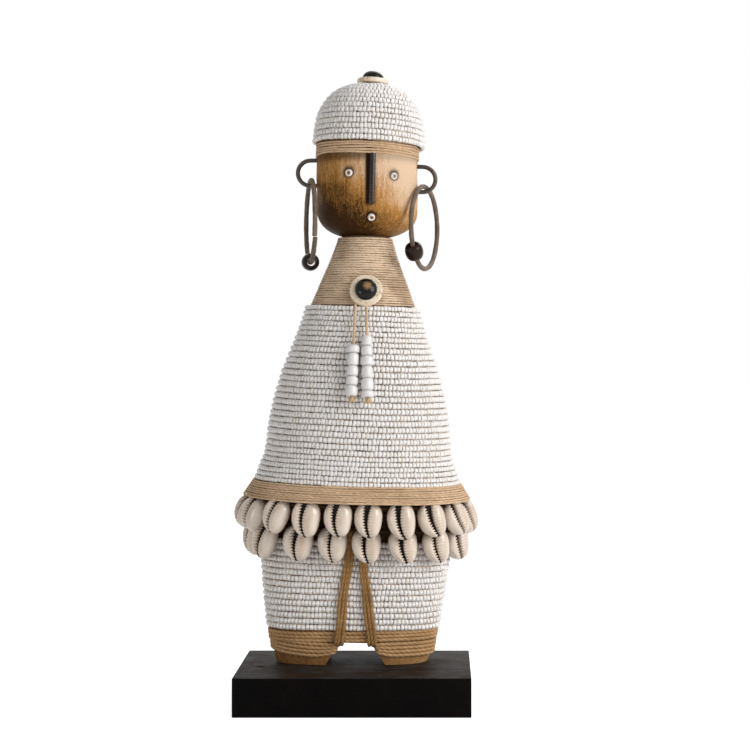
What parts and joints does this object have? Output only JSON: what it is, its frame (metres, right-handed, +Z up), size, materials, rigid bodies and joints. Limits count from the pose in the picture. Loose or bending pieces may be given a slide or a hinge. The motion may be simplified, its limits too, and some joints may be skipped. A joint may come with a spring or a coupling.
{
  "type": "namji doll",
  "caption": "Carved wooden doll in a beaded dress and cap with cowrie shell rows, wound twine neck and swinging ear hoops, standing on a black plinth.",
  "frame": {"origin": "centre of the plinth's underside", "axes": "+Z up from the ground, -Y out of the doll's face, +X to the right of someone who looks at the face"},
  "size_m": [0.1363, 0.0963, 0.3484],
  "materials": {
    "black_wood": "satin black paint on wood",
    "carved_wood": "rubbed, dark patina in the hollows",
    "white_bead": "glossy opaque glass seed beads, warm white",
    "jute": "dry plied twine",
    "cowrie_shell": "natural gloss, cream with tan rims",
    "ear_wire": "dark oxidised",
    "hoop_cord": "grey-brown, dry",
    "dark_bead": "polished",
    "gloss_black": "high gloss",
    "bone_disc": "matt, rusty specks",
    "screw_steel": "zinc plated"
  },
  "bodies": {
    "doll": {"plinth": "black_wood", "screw_left": "screw_steel", "screw_right": "screw_steel", "carved_figure": "carved_wood", "cap_beads": "white_bead", "cap_band": "jute", "crown_disc": "bone_disc", "crown_stud": "gloss_black", "nose_rod": "gloss_black", "eye_left": "white_bead", "eye_right": "white_bead", "mouth_ring": "white_bead", "ear_left": "ear_wire", "ear_right": "ear_wire", "neck_wrap": "jute", "medallion_disc": "bone_disc", "medallion_stud": "gloss_black", "dress_beads": "white_bead", "hem_band": "jute", "shell_row_upper": "cowrie_shell", "shell_row_lower": "cowrie_shell", "leg_beads": "white_bead", "ankle_band": "jute", "foot_wrap_left": "jute", "foot_wrap_right": "jute", "leg_tie_left": "jute", "leg_tie_right": "jute"},
    "hoop_left": {"hoop_left": "hoop_cord"},
    "hoop_right": {"hoop_right": "hoop_cord"},
    "hoop_bead_left": {"hoop_bead_left": "dark_bead"},
    "hoop_bead_right": {"hoop_bead_right": "dark_bead"},
    "string_left": {"string_left": "jute"},
    "string_right": {"string_right": "jute"},
    "string_left_beads": {"string_bead_left_1": "white_bead", "string_bead_left_2": "white_bead", "string_bead_left_3": "white_bead", "string_bead_left_4": "white_bead", "string_bead_left_5": "white_bead"},
    "string_right_beads": {"string_bead_right_1": "white_bead", "string_bead_right_2": "white_bead", "string_bead_right_3": "white_bead", "string_bead_right_4": "white_bead", "string_bead_right_5": "white_bead", "string_bead_right_6": "white_bead"}
  },
  "joints": [
    {"name": "hoop_left_swing", "type": "hinge", "parent": "doll", "child": "hoop_left", "pos_m": [-0.02535, 0.01, 0.28465], "axis": [0.9763, 0.2164, 0], "range_deg": [-75, 75]},
    {"name": "hoop_right_swing", "type": "hinge", "parent": "doll", "child": "hoop_right", "pos_m": [0.03785, 0.01, 0.28115], "axis": [0.9455, -0.3256, 0], "range_deg": [-75, 75]},
    {"name": "hoop_bead_left_slide", "type": "hinge", "parent": "hoop_left", "child": "hoop_bead_left", "pos_m": [-0.02535, 0.01, 0.2648], "axis": [0.9763, 0.2164, 0], "range_deg": [-100, 100]},
    {"name": "hoop_bead_right_slide", "type": "hinge", "parent": "hoop_right", "child": "hoop_bead_right", "pos_m": [0.03785, 0.01, 0.2613], "axis": [0.9455, -0.3256, 0], "range_deg": [-35, 145]},
    {"name": "string_left_lift", "type": "hinge", "parent": "doll", "child": "string_left", "pos_m": [0.00119, -0.02257, 0.21787], "axis": [-0.9995, 0, 0.0314], "range_deg": [0, 70]},
    {"name": "string_right_lift", "type": "hinge", "parent": "doll", "child": "string_right", "pos_m": [0.00714, -0.02304, 0.21614], "axis": [-0.9997, -0.0135, -0.0192], "range_deg": [0, 70]},
    {"name": "string_left_bead_slide", "type": "slide", "parent": "string_left", "child": "string_left_beads", "axis": [0.0304, 0.2523, 0.9672], "range_m": [0, 0.01]},
    {"name": "string_right_bead_slide", "type": "slide", "parent": "string_right", "child": "string_right_beads", "axis": [-0.022, 0.2568, 0.9662], "range_m": [0, 0.006]}
  ]
}
